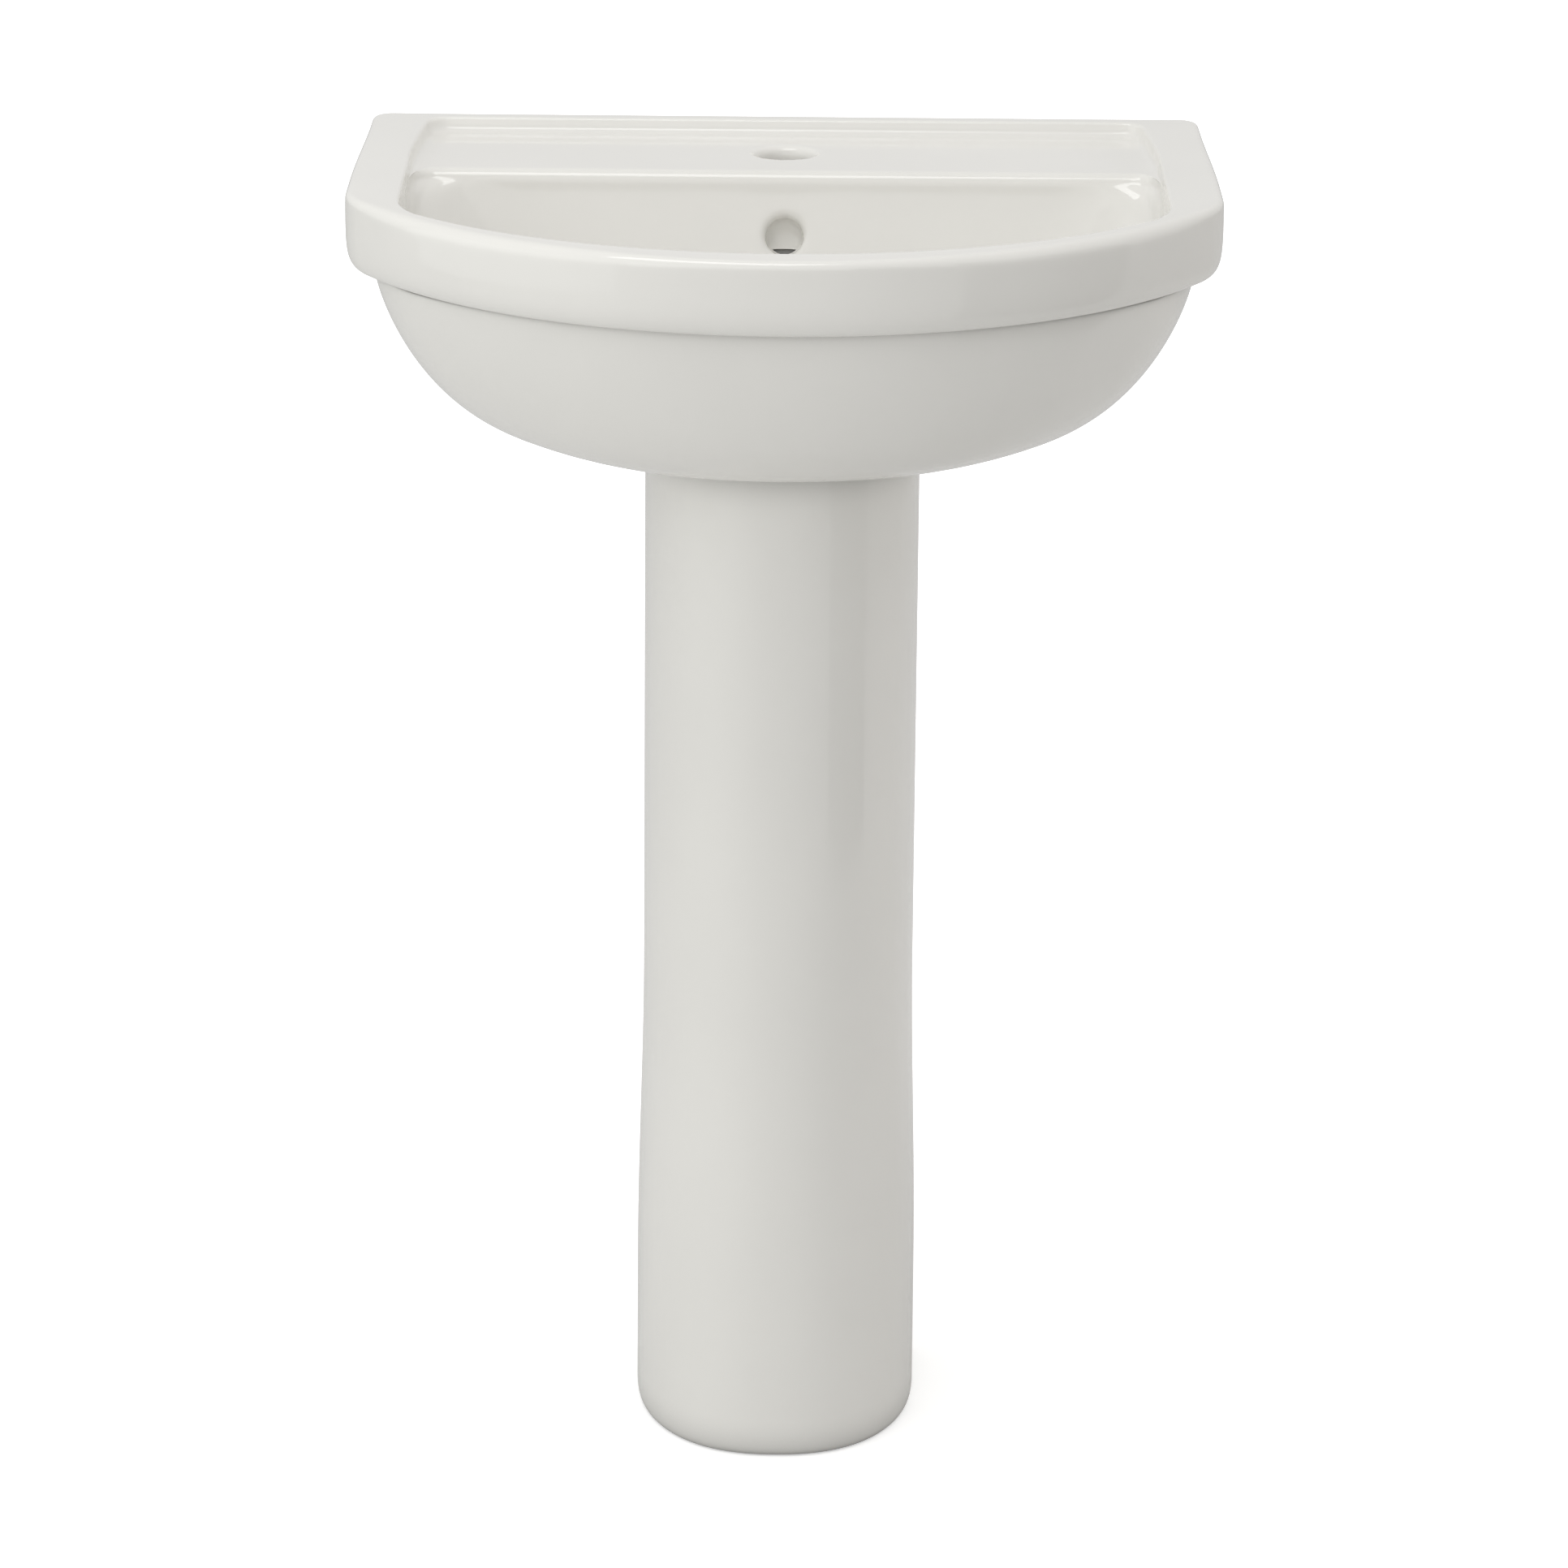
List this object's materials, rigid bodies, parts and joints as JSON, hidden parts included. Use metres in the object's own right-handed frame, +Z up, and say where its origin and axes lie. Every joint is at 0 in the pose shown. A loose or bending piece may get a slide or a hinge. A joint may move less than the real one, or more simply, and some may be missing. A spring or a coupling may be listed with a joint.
{
  "type": "pedestal sink",
  "caption": "D-shaped washbasin with a sunken tap deck and an overflow, on a full pedestal that hides a click-clack waste and a bottle trap.",
  "frame": {"origin": "on the floor, under the middle of the basin's plan: half its depth in front of the wall and on the centreline", "axes": "+X to the right seen from the front, +Y towards the wall, +Z up"},
  "size_m": [0.55, 0.44, 0.82],
  "materials": {
    "basin_china": "glossy ivory-white glaze",
    "pedestal_china": "glossy ivory-white glaze",
    "chrome": "polished",
    "brass": "machined",
    "rubber": "moulded",
    "white_plastic": "moulded, satin"
  },
  "bodies": {
    "sink": {"basin": "basin_china", "pedestal": "pedestal_china", "waste_body": "chrome", "waste_cartridge": "brass", "waste_top_washer": "rubber", "waste_lower_washer": "rubber", "waste_slip_ring": "white_plastic", "waste_back_nut": "brass", "trap_inlet_nut": "white_plastic", "trap_inlet_washer": "rubber", "trap_body": "white_plastic", "trap_cup": "white_plastic", "trap_cup_seal": "rubber", "trap_outlet_nut": "white_plastic", "trap_outlet_washer": "rubber", "waste_pipe": "white_plastic", "wall_plate": "white_plastic"},
    "plug": {"plug_cap": "chrome", "plug_seal": "rubber", "plug_stem": "brass"}
  },
  "joints": [
    {"name": "plug_slide", "type": "slide", "parent": "sink", "child": "plug", "axis": [0, 0, 1], "range_m": [-0.009, 0], "stiffness_N_per_m": 800, "springref_m": 0.003}
  ]
}
